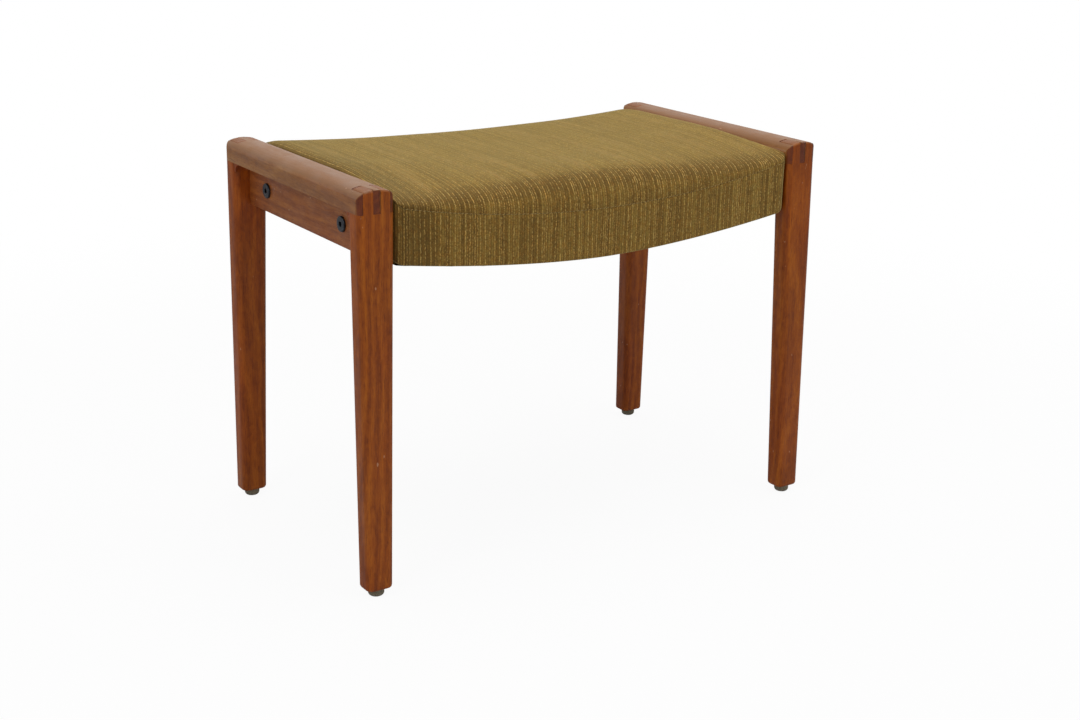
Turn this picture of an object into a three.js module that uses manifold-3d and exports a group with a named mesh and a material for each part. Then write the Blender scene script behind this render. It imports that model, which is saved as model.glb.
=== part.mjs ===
// An upholstered footstool. Two teak side frames, each a rounded top rail on two splayed legs, carry a
// bolted seat: a curved beech frame with webbing, a foam pad and a striped woven cover.
// Millimetres. X runs along the stool, Y from its front to its back, and Z up.
// The origin is on the floor, under the middle of the stool.

import * as THREE from "three";
import { mergeVertices } from "three/addons/utils/BufferGeometryUtils.js";
import Module from "manifold-3d";

const wasm = await Module();
wasm.setup();

// Overall sizes
const stoolHeight = 400; // from the floor to the top of the side frames
const stoolLength = 547; // over the outer faces of the side frames
const stoolDepth = 303; // from front to back at the top of the side frames
const footSplay = 8; // how much further out than the top each foot stands, to the front or back

// Fits and cuts
const fitGap = 0.3; // clearance between two pieces that touch
const overrun = 4; // how far a cut runs past the face that it opens

// Legs
const legWidthAtTop = 37.5; // along X, and also the width of the top rail
const legWidthAtFoot = 28;
const legThickness = 23; // along Y
const legEdgeRadius = 6.5;
const legFootRadius = 3; // of the edge round its lower end
const legFilletRadius = 9; // the sweep from the leg into the top rail, above the recess
const legFilletInset = 1.5; // from the leg's outer face to that sweep

// Top rails
const topRailThickness = 22;
const topRailShoulder = 11; // height of the rounded top above the straight sides
const topRailPower = 2.6; // of the rounded top's outline
const outerProngWidth = 5.2; // bridle joint: each outer prong of the rail's fork
const middleProngWidth = 7.7; // bridle joint: the middle prong of the rail's fork

// Side rails, under the top rails and set back from the legs' outer faces
const sideRailInset = 17;
const sideRailHeight = 44.5;

// Dowels
const dowelDiameter = 8;
const dowelLength = 38;
const dowelDepthInLeg = 13;
const dowelDepthInLongRail = 14;
const dowelSpread = 22; // between the two dowels of a joint
const dowelEndRoom = 1; // glue room at each end of a dowel

// Connector bolts, and their threaded inserts in the seat frame
const boltFromLeg = 44; // from the top of a leg's inner face to the nearest bolt
const boltHeadDiameter = 15.5;
const boltHeadHeight = 2.2;
const boltBevel = 0.8;
const boltShankDiameter = 7.8;
const boltLength = 40; // under the head
const boltTipRoom = 1.5; // between the bolt's tip and the end of its hole
const socketWidth = 5; // across the flats of the hexagon
const socketDepth = 4.5;
const insertDiameter = 12;
const insertLength = 16;
const insertRimDiameter = 15;
const insertRimThickness = 1.2;

// Glides
const glideHeight = 7.8;
const glideDiameter = 16;
const glideFaceDiameter = 10; // the flat that stands on the floor
const glideEdgeHeight = 3.6; // where the rounded edge reaches the full diameter
const glideNailDiameter = 2.6;
const glideNailLength = 16;

// Seat cover and its curves
const seatInset = 0.5; // from the side frames' front and back to the cover
const coverThickness = 1.2;
const coverTurnUnder = 14; // how much of the front and back bands is turned under the frame
const seamDrop = 18.5; // from the rail tops down to the seam, at the seat's ends
const seamSag = 25; // how much lower the seam lies at the middle
const bandHeight = 54.5; // from the seam to the underside, at the seat's ends
const undersideSag = 21; // how much lower the underside lies at the middle
const crownSag = 6.5; // how much lower than the rail tops the crown lies at the middle
const curvePower = 2; // of the seam's and the crown's rise towards the seat's ends
const undersidePower = 1.75; // of the underside's rise
const crownSidePower = 8; // of the crown's outline from front to back
const crownTopPower = 3;
const endRollWidth = 15; // the rounding of the pad towards the side frames
const endRollDrop = 6;
const cornerDip = 0.6; // the share of the crown's rise that is lost at the front corners
const cornerDipLength = 200; // how far the dip reaches along X
const cornerDipDepth = 130; // and along Y
const cornerDipPower = 1.4;

// Seat frame
const frameBelowSeam = 9; // from the seam down to the top of the seat frame
const longRailThickness = 22;
const endRailThickness = 24;

// Webbing and dust cover
const strapCount = 6;
const strapWidth = 50;
const strapThickness = 2;
const strapEndInset = 4; // from a long rail's outer face to the end of a strap
const dustCoverThickness = 0.8;

// How finely curves are divided
const cornerSteps = 4;
const footSteps = 4;
const crownSteps = 16;
const lengthSteps = 18;
const rollSteps = 4;
const topRailSteps = 16;
const strapSteps = 2;
const dowelSides = 12;
const boltSides = 20;
const insertSides = 16;
const glideSides = 20;
const glideEdgeSteps = 3;

// Places worked out from the sizes
const halfLength = stoolLength / 2;
const halfDepth = stoolDepth / 2;
const railUnderside = stoolHeight - topRailThickness;
const legTop = railUnderside - fitGap;
const legFoot = glideHeight + fitGap;
const innerFaceX = halfLength - legWidthAtTop;
const innerFaceY = halfDepth - legThickness;
const tongueWidth = (legWidthAtTop - 2 * outerProngWidth - middleProngWidth) / 2;
const sideRailX = halfLength - sideRailInset;
const sideRailMiddleX = (sideRailX + innerFaceX) / 2;
const sideRailBottom = legTop - sideRailHeight;
const boltZ = (legTop + sideRailBottom) / 2;
const boltY = innerFaceY - boltFromLeg;
const seatHalfLength = innerFaceX - fitGap;
const seatHalfDepth = halfDepth - seatInset;
const padInset = coverThickness + fitGap; // from the cover's outside to the pad and the frame
const frameHalfLength = seatHalfLength - padInset;
const frameHalfDepth = seatHalfDepth - padInset;
const longRailInnerY = frameHalfDepth - longRailThickness;
const endRailInnerX = frameHalfLength - endRailThickness;
const endRailMiddleX = (frameHalfLength + endRailInnerX) / 2;
const strapPitch = (2 * endRailInnerX) / strapCount;

// Closed bodies, and the cuts and joins between them

function toSolid(geometry) {
  const bare = geometry.clone();
  bare.deleteAttribute("normal");
  bare.deleteAttribute("uv");
  const merged = mergeVertices(bare);
  const vertProperties = new Float32Array(merged.attributes.position.array);
  const triVerts = new Uint32Array(merged.index.array);
  return new wasm.Manifold(new wasm.Mesh({ numProp: 3, vertProperties, triVerts }));
}

function toGeometry(solid) {
  const mesh = solid.getMesh();
  const geometry = new THREE.BufferGeometry();
  geometry.setAttribute("position", new THREE.Float32BufferAttribute(mesh.vertProperties, 3));
  geometry.setIndex(new THREE.Uint32BufferAttribute(mesh.triVerts, 1));
  return geometry;
}

function cut(body, tools) {
  return toGeometry(tools.reduce((rest, tool) => rest.subtract(toSolid(tool)), toSolid(body)));
}

function join(bodies) {
  return toGeometry(bodies.map(toSolid).reduce((sum, body) => sum.add(body)));
}

function meet(body, other) {
  return toGeometry(toSolid(body).intersect(toSolid(other)));
}

function closedBody(points, faces) {
  const geometry = new THREE.BufferGeometry();
  geometry.setFromPoints(points);
  geometry.setIndex(faces);
  return geometry;
}

// A list of places from one value to another
function spread(from, to, steps) {
  return Array.from({ length: steps + 1 }, (_, step) => from + ((to - from) * step) / steps);
}

// Skins rings with the same number of points each into a body with flat ends. Seen from beyond the
// last ring, the points run anticlockwise. onPlane gives a point's place in the plane of an end.
function loft(rings, onPlane) {
  const count = rings[0].length;
  const last = (rings.length - 1) * count;
  const faces = [];
  for (let base = 0; base < last; base += count) {
    for (let side = 0; side < count; side += 1) {
      const a = base + side;
      const b = base + ((side + 1) % count);
      faces.push(a, b, b + count, a, b + count, a + count);
    }
  }
  for (const [a, b, c] of THREE.ShapeUtils.triangulateShape(rings[0].map(onPlane), [])) {
    faces.push(a, c, b);
  }
  for (const [a, b, c] of THREE.ShapeUtils.triangulateShape(rings.at(-1).map(onPlane), [])) {
    faces.push(last + a, last + b, last + c);
  }
  return closedBody(rings.flat(), faces);
}

// A bar along X whose section, a list of [y, z], may change with x
function barAlongX(places, sectionAt) {
  const rings = places.map((x) => sectionAt(x).map(([y, z]) => new THREE.Vector3(x, y, z)));
  return loft(rings, (point) => new THREE.Vector2(point.y, point.z));
}

// An upright bar whose section, a list of [x, y], may change with z
function barAlongZ(places, sectionAt) {
  const rings = places.map((z) => sectionAt(z).map(([x, y]) => new THREE.Vector3(x, y, z)));
  return loft(rings, (point) => new THREE.Vector2(point.x, point.y));
}

// Turns a shape drawn in the plane named by its two axes into a body along the third
const turns = {
  zx: [new THREE.Vector3(0, 0, 1), new THREE.Vector3(1, 0, 0), new THREE.Vector3(0, 1, 0)],
  yz: [new THREE.Vector3(0, 1, 0), new THREE.Vector3(0, 0, 1), new THREE.Vector3(1, 0, 0)],
};

function extruded(outline, plane, from, to) {
  const shape = new THREE.Shape(outline.map(([across, up]) => new THREE.Vector2(across, up)));
  const geometry = new THREE.ExtrudeGeometry(shape, { depth: to - from, bevelEnabled: false });
  geometry.translate(0, 0, from);
  return geometry.applyMatrix4(new THREE.Matrix4().makeBasis(...turns[plane]));
}

function block(x0, x1, y0, y1, z0, z1) {
  const geometry = new THREE.BoxGeometry(x1 - x0, y1 - y0, z1 - z0);
  return geometry.translate((x0 + x1) / 2, (y0 + y1) / 2, (z0 + z1) / 2);
}

function rodAlongY(diameter, x, z, y0, y1) {
  const geometry = new THREE.CylinderGeometry(diameter / 2, diameter / 2, y1 - y0, dowelSides);
  return geometry.translate(x, (y0 + y1) / 2, z);
}

function rodAlongX(diameter, y, z, x0, x1) {
  const geometry = new THREE.CylinderGeometry(diameter / 2, diameter / 2, x1 - x0, boltSides);
  return geometry.rotateZ(-Math.PI / 2).translate((x0 + x1) / 2, y, z);
}

function turned(profile, sides) {
  return new THREE.LatheGeometry(profile.map(([radius, along]) => new THREE.Vector2(radius, along)), sides);
}

function rectangle(x0, x1, y0, y1) {
  return [
    [x0, y0],
    [x1, y0],
    [x1, y1],
    [x0, y1],
  ];
}

function roundedRectangle(x0, x1, y0, y1, radius) {
  const centres = rectangle(x0 + radius, x1 - radius, y0 + radius, y1 - radius);
  return centres.flatMap(([x, y], corner) =>
    spread(corner + 2, corner + 3, cornerSteps).map((quarter) => {
      const angle = (quarter * Math.PI) / 2;
      return [x + radius * Math.cos(angle), y + radius * Math.sin(angle)];
    }));
}

// Pieces are drawn at the left (-X) and the front (-Y), and mirrored to their own corner
function mirrored(geometry, sideX, sideY) {
  const copy = geometry.clone();
  copy.scale(-sideX, -sideY, 1);
  if (sideX === sideY) return copy;
  const index = copy.index;
  for (let corner = 0; corner < index.count; corner += 3) {
    const second = index.getX(corner + 1);
    index.setX(corner + 1, index.getX(corner + 2));
    index.setX(corner + 2, second);
  }
  return copy;
}

// Side frames

// How far a leg has gone from its top, 0, to its foot, 1
function legShare(z) {
  return (legTop - z) / (legTop - legFoot);
}

function innerFaceYAt(z) {
  return innerFaceY + footSplay * legShare(z);
}

function legSection(z, inset) {
  const width = legWidthAtTop + (legWidthAtFoot - legWidthAtTop) * legShare(z);
  const splay = footSplay * legShare(z);
  return roundedRectangle(
    -halfLength + inset,
    -halfLength + width - inset,
    -halfDepth - splay + inset,
    -innerFaceY - splay - inset,
    legEdgeRadius - inset,
  );
}

// The top of the side frame as one body: a rounded rail with four rounded upright edges
function frameTop(bottom) {
  const halfWidth = legWidthAtTop / 2;
  const middleX = -halfLength + halfWidth;
  const section = [
    [bottom, middleX + halfWidth],
    [bottom, middleX - halfWidth],
  ];
  for (const angle of spread(Math.PI, 0, topRailSteps)) {
    const across = Math.sign(Math.cos(angle)) * Math.abs(Math.cos(angle)) ** (2 / topRailPower);
    const up = Math.sin(angle) ** (2 / topRailPower);
    const shoulderZ = stoolHeight - topRailShoulder;
    section.push([shoulderZ + topRailShoulder * up, middleX + halfWidth * across]);
  }
  const plan = roundedRectangle(-halfLength, -innerFaceX, -halfDepth, halfDepth, legEdgeRadius);
  const column = barAlongZ([bottom - overrun, stoolHeight + overrun], () => plan);
  return meet(extruded(section, "zx", -halfDepth - overrun, halfDepth + overrun), column);
}

// The two blocks that hold a leg's tongues at the front left corner, made wider by a clearance
function tongueBlocks(clearance) {
  const starts = [outerProngWidth, outerProngWidth + tongueWidth + middleProngWidth];
  return starts.map((start) => {
    const x = -halfLength + start;
    const y = -innerFaceY + clearance;
    return block(
      x - clearance,
      x + tongueWidth + clearance,
      -halfDepth - overrun,
      y,
      railUnderside - overrun,
      stoolHeight + overrun,
    );
  });
}

function topRail() {
  const frontSlots = tongueBlocks(fitGap);
  const backSlots = frontSlots.map((slot) => mirrored(slot, -1, 1));
  return cut(frameTop(railUnderside), [...frontSlots, ...backSlots]);
}

// The hollow sweep between the leg and the rail's underside
function legFillet() {
  const outline = [[-innerFaceY - legEdgeRadius, legTop]];
  outline.push([-innerFaceY - legEdgeRadius, legTop - legFilletRadius]);
  for (const angle of spread(Math.PI, Math.PI / 2, cornerSteps)) {
    const y = -innerFaceY + legFilletRadius * (1 + Math.cos(angle));
    outline.push([y, legTop - legFilletRadius * (1 - Math.sin(angle))]);
  }
  return extruded(outline, "yz", -halfLength + legFilletInset, -sideRailX - fitGap);
}

function sideRailDowelSpans() {
  const start = -innerFaceY - dowelDepthInLeg;
  return [-1, 1].map((side) => ({
    x: -sideRailMiddleX,
    z: boltZ + (side * dowelSpread) / 2,
    start,
    end: start + dowelLength,
  }));
}

function longRailDowelSpans() {
  const start = -longRailInnerY - dowelDepthInLongRail;
  const middleZ = (frameBottomAt(endRailMiddleX) + frameTopAt(endRailMiddleX)) / 2;
  return [-1, 1].map((side) => ({
    x: -endRailMiddleX,
    z: middleZ + (side * dowelSpread) / 2,
    start,
    end: start + dowelLength,
  }));
}

function dowel(span) {
  return rodAlongY(dowelDiameter, span.x, span.z, span.start, span.end);
}

function dowelHole(span) {
  const { start, end } = span;
  return rodAlongY(dowelDiameter + 2 * fitGap, span.x, span.z, start - dowelEndRoom, end + dowelEndRoom);
}

// The leg stands on its glide, so it is bored for the glide's nail
function nailHole() {
  const { x, y } = glidePlace();
  const radius = glideNailDiameter / 2 + fitGap;
  const depth = glideNailLength + dowelEndRoom;
  const rod = new THREE.CylinderGeometry(radius, radius, depth + overrun, dowelSides);
  return rod.rotateX(Math.PI / 2).translate(x, y, glideHeight + (depth - overrun) / 2);
}

function leg() {
  const foot = spread(0, Math.PI / 2, footSteps).map((angle) => [
    legFoot + legFootRadius * (1 - Math.cos(angle)),
    legFootRadius * (1 - Math.sin(angle)),
  ]);
  const rings = [...foot, [legTop, 0]].map(([z, inset]) =>
    legSection(z, inset).map(([x, y]) => new THREE.Vector3(x, y, z)));
  const post = loft(rings, (point) => new THREE.Vector2(point.x, point.y));
  const tongueRoot = legTop - fitGap;
  const tongues = tongueBlocks(0).map((tongue) => meet(frameTop(tongueRoot), tongue));
  const holes = sideRailDowelSpans().map(dowelHole);
  return cut(join([post, ...tongues, legFillet()]), [...holes, nailHole()]);
}

function sideRail() {
  const bar = barAlongZ([sideRailBottom, legTop], (z) => {
    const halfSpan = innerFaceYAt(z) - fitGap;
    return rectangle(-sideRailX, -innerFaceX, -halfSpan, halfSpan);
  });
  const frontHoles = sideRailDowelSpans().map(dowelHole);
  const backHoles = frontHoles.map((hole) => mirrored(hole, -1, 1));
  return cut(bar, [...frontHoles, ...backHoles, ...boltHoles()]);
}

// Bolts and inserts

// From the bolt's head to a little past its tip, at both bolts of the left side
function boltHoles() {
  const tip = -sideRailX - fitGap + boltLength + boltTipRoom;
  const diameter = boltShankDiameter + 2 * fitGap;
  return [-boltY, boltY].map((y) => rodAlongX(diameter, y, boltZ, -sideRailX - overrun, tip));
}

function connectorBolt() {
  const headRadius = boltHeadDiameter / 2;
  const shankRadius = boltShankDiameter / 2;
  const tip = boltHeadHeight + boltLength;
  const body = turned([
    [0, 0],
    [headRadius - boltBevel, 0],
    [headRadius, boltBevel],
    [headRadius, boltHeadHeight],
    [shankRadius, boltHeadHeight],
    [shankRadius, tip - boltBevel],
    [shankRadius - boltBevel, tip],
    [0, tip],
  ], boltSides);
  const socketRadius = socketWidth / Math.sqrt(3);
  const socket = new THREE.CylinderGeometry(socketRadius, socketRadius, socketDepth + overrun, 6);
  socket.translate(0, (socketDepth - overrun) / 2, 0);
  const bolt = cut(body, [socket]);
  const headFace = -sideRailX - fitGap - boltHeadHeight;
  return bolt.rotateZ(-Math.PI / 2).translate(headFace, -boltY, boltZ);
}

function threadedInsert() {
  const bore = boltShankDiameter / 2 + fitGap;
  const insert = turned([
    [bore, 0],
    [insertRimDiameter / 2, 0],
    [insertRimDiameter / 2, insertRimThickness],
    [insertDiameter / 2, insertRimThickness],
    [insertDiameter / 2, insertLength],
    [bore, insertLength],
    [bore, 0],
  ], insertSides);
  return insert.rotateZ(-Math.PI / 2).translate(-frameHalfLength, -boltY, boltZ);
}

function insertHoles() {
  const outer = -frameHalfLength;
  return [-boltY, boltY].flatMap((y) => [
    rodAlongX(insertDiameter + 2 * fitGap, y, boltZ, outer - overrun, outer + insertLength + fitGap),
    rodAlongX(insertRimDiameter + 2 * fitGap, y, boltZ, outer - overrun, outer + insertRimThickness + fitGap),
  ]);
}

// Glides

function glidePlace() {
  return {
    x: -halfLength + legWidthAtFoot / 2,
    y: -halfDepth - footSplay + legThickness / 2,
  };
}

function glide() {
  const faceRadius = glideFaceDiameter / 2;
  const edgeWidth = (glideDiameter - glideFaceDiameter) / 2;
  const nailTip = glideHeight + glideNailLength;
  const profile = [[0, 0]];
  for (const angle of spread(0, Math.PI / 2, glideEdgeSteps)) {
    profile.push([faceRadius + edgeWidth * Math.sin(angle), glideEdgeHeight * (1 - Math.cos(angle))]);
  }
  profile.push([glideDiameter / 2, glideHeight]);
  profile.push([glideNailDiameter / 2, glideHeight]);
  profile.push([glideNailDiameter / 2, nailTip - glideNailDiameter]);
  profile.push([0, nailTip]);
  const { x, y } = glidePlace();
  return turned(profile, glideSides).rotateX(Math.PI / 2).translate(x, y, 0);
}

// Heights of the seat's curves along X

function endShare(x, power) {
  return (Math.abs(x) / seatHalfLength) ** power;
}

function seamAt(x) {
  return stoolHeight - seamDrop - seamSag * (1 - endShare(x, curvePower));
}

function undersideAt(x) {
  return stoolHeight - seamDrop - bandHeight - undersideSag * (1 - endShare(x, undersidePower));
}

function crownAt(x) {
  return stoolHeight - crownSag * (1 - endShare(x, curvePower));
}

function frameBottomAt(x) {
  return undersideAt(x) + padInset;
}

function frameTopAt(x) {
  return seamAt(x) - frameBelowSeam;
}

// Seat frame

function longRail() {
  const bar = barAlongX(spread(-frameHalfLength, frameHalfLength, lengthSteps), (x) =>
    rectangle(-frameHalfDepth, -longRailInnerY, frameBottomAt(x), frameTopAt(x)));
  const leftHoles = longRailDowelSpans().map(dowelHole);
  return cut(bar, [...leftHoles, ...leftHoles.map((hole) => mirrored(hole, 1, -1))]);
}

function endRail() {
  const halfSpan = longRailInnerY - fitGap;
  const bar = barAlongX([-frameHalfLength, -endRailInnerX], (x) =>
    rectangle(-halfSpan, halfSpan, frameBottomAt(x), frameTopAt(x)));
  const frontHoles = longRailDowelSpans().map(dowelHole);
  const backHoles = frontHoles.map((hole) => mirrored(hole, -1, 1));
  return cut(bar, [...frontHoles, ...backHoles, ...boltHoles(), ...insertHoles()]);
}

function webbingStrap(number) {
  const middle = (number - (strapCount - 1) / 2) * strapPitch;
  const halfSpan = frameHalfDepth - strapEndInset;
  const places = spread(middle - strapWidth / 2, middle + strapWidth / 2, strapSteps);
  return barAlongX(places, (x) => {
    const z = frameTopAt(x) + fitGap;
    return rectangle(-halfSpan, halfSpan, z, z + strapThickness);
  });
}

// Pad and cover

// The crown from front to back: 1 at the middle, 0 at the seams
function bulge(share) {
  return (1 - Math.abs(share) ** crownSidePower) ** (1 / crownTopPower);
}

// How much of the crown's rise is left near a front corner, where use has drawn the cover down
function cornerShare(x, y) {
  const nearEnd = Math.max(0, 1 - (seatHalfLength - Math.abs(x)) / cornerDipLength);
  const nearFront = Math.max(0, 1 - (seatHalfDepth + y) / cornerDipDepth);
  return 1 - cornerDip * (nearEnd * nearFront) ** cornerDipPower;
}

// Places along X of the crowned surface, each with its drop where it rolls down to the side frames
function crownPlaces(inset) {
  const rollStart = seatHalfLength - inset - endRollWidth;
  const roll = spread(0, Math.PI / 2, rollSteps).slice(1);
  const rolled = roll.map((angle) => ({
    x: rollStart + endRollWidth * Math.sin(angle),
    drop: endRollDrop * (1 - Math.cos(angle)),
  }));
  const level = spread(-rollStart, rollStart, lengthSteps).map((x) => ({ x, drop: 0 }));
  const left = rolled.map(({ x, drop }) => ({ x: -x, drop })).reverse();
  return [...left, ...level, ...rolled];
}

// The crowned line from front to back at one place, as a list of [y, z]
function crownLine({ x, drop }, inset) {
  const top = crownAt(x) - drop - inset;
  return spread(-Math.PI / 2, Math.PI / 2, crownSteps).map((angle) => {
    const share = Math.sin(angle);
    const y = (seatHalfDepth - inset) * share;
    return [y, seamAt(x) + (top - seamAt(x)) * bulge(share) * cornerShare(x, y)];
  });
}

function foamPad() {
  const places = crownPlaces(padInset);
  const rings = places.map((place) => {
    const bottom = frameTopAt(place.x) + strapThickness + 2 * fitGap;
    const base = [
      [-frameHalfDepth, bottom],
      [frameHalfDepth, bottom],
    ];
    const section = [...base, ...crownLine(place, padInset).reverse()];
    return section.map(([y, z]) => new THREE.Vector3(place.x, y, z));
  });
  return loft(rings, (point) => new THREE.Vector2(point.y, point.z));
}

// Rows of points over one side of the cover's panel: up an end, over the crown and down the other end
function panelRows(inset) {
  const rows = crownPlaces(inset).map((place) =>
    crownLine(place, inset).map(([y, z]) => new THREE.Vector3(place.x, y, z)));
  const hem = (row) => row.map(({ x, y }) => new THREE.Vector3(x, y, undersideAt(seatHalfLength)));
  return [hem(rows[0]), ...rows, hem(rows.at(-1))];
}

// A thin panel between two grids of points, the outer one and the inner one
function panelBetween(outer, inner) {
  const rowLength = outer[0].length;
  const innerStart = outer.length * rowLength;
  const faces = [];
  const quad = (a, b, c, d) => faces.push(a, b, c, a, c, d);
  const at = (row, column) => row * rowLength + column;
  for (let row = 0; row + 1 < outer.length; row += 1) {
    for (let column = 0; column + 1 < rowLength; column += 1) {
      const corners = [at(row, column), at(row + 1, column), at(row + 1, column + 1), at(row, column + 1)];
      quad(...corners);
      quad(...corners.reverse().map((corner) => corner + innerStart));
    }
    const front = [at(row, 0), at(row + 1, 0)];
    const back = [at(row + 1, rowLength - 1), at(row, rowLength - 1)];
    for (const [a, b] of [front, back]) quad(a, a + innerStart, b + innerStart, b);
  }
  for (let column = 0; column + 1 < rowLength; column += 1) {
    const left = [at(0, column + 1), at(0, column)];
    const right = [at(outer.length - 1, column), at(outer.length - 1, column + 1)];
    for (const [a, b] of [left, right]) quad(a, a + innerStart, b + innerStart, b);
  }
  return closedBody([...outer.flat(), ...inner.flat()], faces);
}

function coverPanel() {
  const panel = panelBetween(panelRows(0), panelRows(coverThickness));
  const leftHoles = boltHoles();
  return cut(panel, [...leftHoles, ...leftHoles.map((hole) => mirrored(hole, 1, -1))]);
}

// The front band, sewn to the panel along the seam and turned under the frame
function coverBand() {
  const outer = -seatHalfDepth;
  const inner = outer + coverThickness;
  const hem = inner + coverTurnUnder;
  const halfSpan = seatHalfLength - padInset;
  return barAlongX(spread(-halfSpan, halfSpan, lengthSteps), (x) => [
    [outer, undersideAt(x)],
    [hem, undersideAt(x)],
    [hem, undersideAt(x) + coverThickness],
    [inner, undersideAt(x) + coverThickness],
    [inner, seamAt(x) - fitGap],
    [outer, seamAt(x) - fitGap],
  ]);
}

function dustCover() {
  const halfSpan = seatHalfLength - padInset;
  const halfWidth = seatHalfDepth - coverThickness - coverTurnUnder - fitGap;
  return barAlongX(spread(-halfSpan, halfSpan, lengthSteps), (x) => {
    const top = undersideAt(x) + coverThickness;
    return rectangle(-halfWidth, halfWidth, top - dustCoverThickness, top);
  });
}

// Colours and finishes

function finish(color, roughness, metalness) {
  return { color, roughness, metalness };
}

const teak = finish(0x7f4523, 0.48, 0);
const teakRail = finish(0x9c6a45, 0.42, 0);
const beech = finish(0xc49a67, 0.7, 0);
const dowelBeech = finish(0xd2ac7a, 0.75, 0);
const blackSteel = finish(0x1d1e21, 0.45, 0.85);
const zincSteel = finish(0x9d9f9c, 0.4, 0.9);
const glidePlastic = finish(0x6b6350, 0.6, 0);
const olivePanel = finish(0x8f7a42, 0.95, 0);
const oliveBand = finish(0x7a632e, 0.95, 0);
const foam = finish(0xe0d3a4, 0.98, 0);
const jute = finish(0x8a6f48, 0.95, 0);
const blackCloth = finish(0x23211f, 0.95, 0);

// The stool, with each piece under its own name

const stool = new THREE.Group();

function addPiece(name, geometry, look) {
  const piece = new THREE.Mesh(geometry, new THREE.MeshStandardMaterial(look));
  piece.name = name;
  stool.add(piece);
}

const sidesX = { left: -1, right: 1 };
const sidesY = { front: -1, back: 1 };
const levels = ["lower", "upper"];

for (const [sideX, signX] of Object.entries(sidesX)) {
  addPiece(`top_rail_${sideX}`, mirrored(topRail(), signX, -1), teakRail);
  addPiece(`side_rail_${sideX}`, mirrored(sideRail(), signX, -1), teak);
  addPiece(`seat_end_rail_${sideX}`, mirrored(endRail(), signX, -1), beech);
  for (const [sideY, signY] of Object.entries(sidesY)) {
    const corner = `${sideY}_${sideX}`;
    addPiece(`leg_${corner}`, mirrored(leg(), signX, signY), teak);
    addPiece(`glide_${corner}`, mirrored(glide(), signX, signY), glidePlastic);
    addPiece(`connector_bolt_${corner}`, mirrored(connectorBolt(), signX, signY), blackSteel);
    addPiece(`threaded_insert_${corner}`, mirrored(threadedInsert(), signX, signY), zincSteel);
    const sideRailDowels = sideRailDowelSpans();
    const seatDowels = longRailDowelSpans();
    levels.forEach((level, index) => {
      const frameDowel = mirrored(dowel(sideRailDowels[index]), signX, signY);
      const seatDowel = mirrored(dowel(seatDowels[index]), signX, signY);
      addPiece(`side_rail_dowel_${corner}_${level}`, frameDowel, dowelBeech);
      addPiece(`seat_dowel_${corner}_${level}`, seatDowel, dowelBeech);
    });
  }
}

for (const [sideY, signY] of Object.entries(sidesY)) {
  addPiece(`seat_long_rail_${sideY}`, mirrored(longRail(), -1, signY), beech);
  addPiece(`cover_band_${sideY}`, mirrored(coverBand(), -1, signY), oliveBand);
}

for (let number = 0; number < strapCount; number += 1) {
  addPiece(`webbing_strap_${number + 1}`, webbingStrap(number), jute);
}

addPiece("foam_pad", foamPad(), foam);
addPiece("cover_top_panel", coverPanel(), olivePanel);
addPiece("dust_cover", dustCover(), blackCloth);

export default stool;
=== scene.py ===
"""The looks of an upholstered footstool: oiled teak side frames, a striped wool cover and its trim.

Metres, in the same frame as the solids: X along the stool, Y from its front to its back, Z up.
"""

import math

import bmesh
import bpy
import numpy as np
from mathutils import Matrix, Vector, noise

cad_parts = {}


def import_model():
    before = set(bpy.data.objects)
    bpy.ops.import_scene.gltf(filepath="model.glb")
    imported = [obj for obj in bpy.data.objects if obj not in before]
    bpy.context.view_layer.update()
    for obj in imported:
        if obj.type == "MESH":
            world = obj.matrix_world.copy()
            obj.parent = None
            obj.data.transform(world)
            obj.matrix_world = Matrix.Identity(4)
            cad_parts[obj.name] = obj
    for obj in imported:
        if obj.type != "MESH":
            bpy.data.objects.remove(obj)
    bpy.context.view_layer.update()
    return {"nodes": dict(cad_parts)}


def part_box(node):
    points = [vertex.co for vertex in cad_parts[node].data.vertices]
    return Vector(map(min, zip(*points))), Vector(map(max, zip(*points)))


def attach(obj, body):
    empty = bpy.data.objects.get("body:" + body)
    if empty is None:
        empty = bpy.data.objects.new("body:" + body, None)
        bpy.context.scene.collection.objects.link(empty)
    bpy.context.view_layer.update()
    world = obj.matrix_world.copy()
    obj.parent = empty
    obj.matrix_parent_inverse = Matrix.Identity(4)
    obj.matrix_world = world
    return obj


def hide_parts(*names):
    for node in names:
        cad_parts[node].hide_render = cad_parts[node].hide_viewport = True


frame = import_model()
nodes = frame["nodes"]

SIDES = {"left": -1, "right": 1}
ENDS = {"front": -1, "back": 1}
CORNERS = [(end, side) for end in ENDS for side in SIDES]
QUARTER_TURN = math.pi / 2

# Sizes read from the solids
STOOL_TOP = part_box("top_rail_left")[1].z
RAIL_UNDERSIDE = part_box("top_rail_left")[0].z
SIDE_RAIL_HALF_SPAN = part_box("side_rail_left")[1].y
SEAT_HALF_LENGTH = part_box("cover_top_panel")[1].x
SEAT_HALF_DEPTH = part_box("cover_top_panel")[1].y
PAD_HALF_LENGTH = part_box("foam_pad")[1].x

# The seat's curves, as in the solids
SEAM_DROP = 0.0185
SEAM_SAG = 0.025
BAND_HEIGHT = 0.0545
UNDERSIDE_SAG = 0.021
CROWN_SAG = 0.0065
CURVE_POWER = 2
UNDERSIDE_POWER = 1.75
CROWN_SIDE_POWER = 8
CROWN_TOP_POWER = 3
END_ROLL_WIDTH = 0.015
END_ROLL_DROP = 0.006
CORNER_DIP = 0.6  # the share of the crown's rise that is lost at the front corners
CORNER_DIP_LENGTH = 0.2  # how far the dip reaches along X
CORNER_DIP_DEPTH = 0.13  # and along Y
CORNER_DIP_POWER = 1.4
PAD_BELOW_SEAM = 0.0064  # from the seam down to the pad's flat underside

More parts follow.
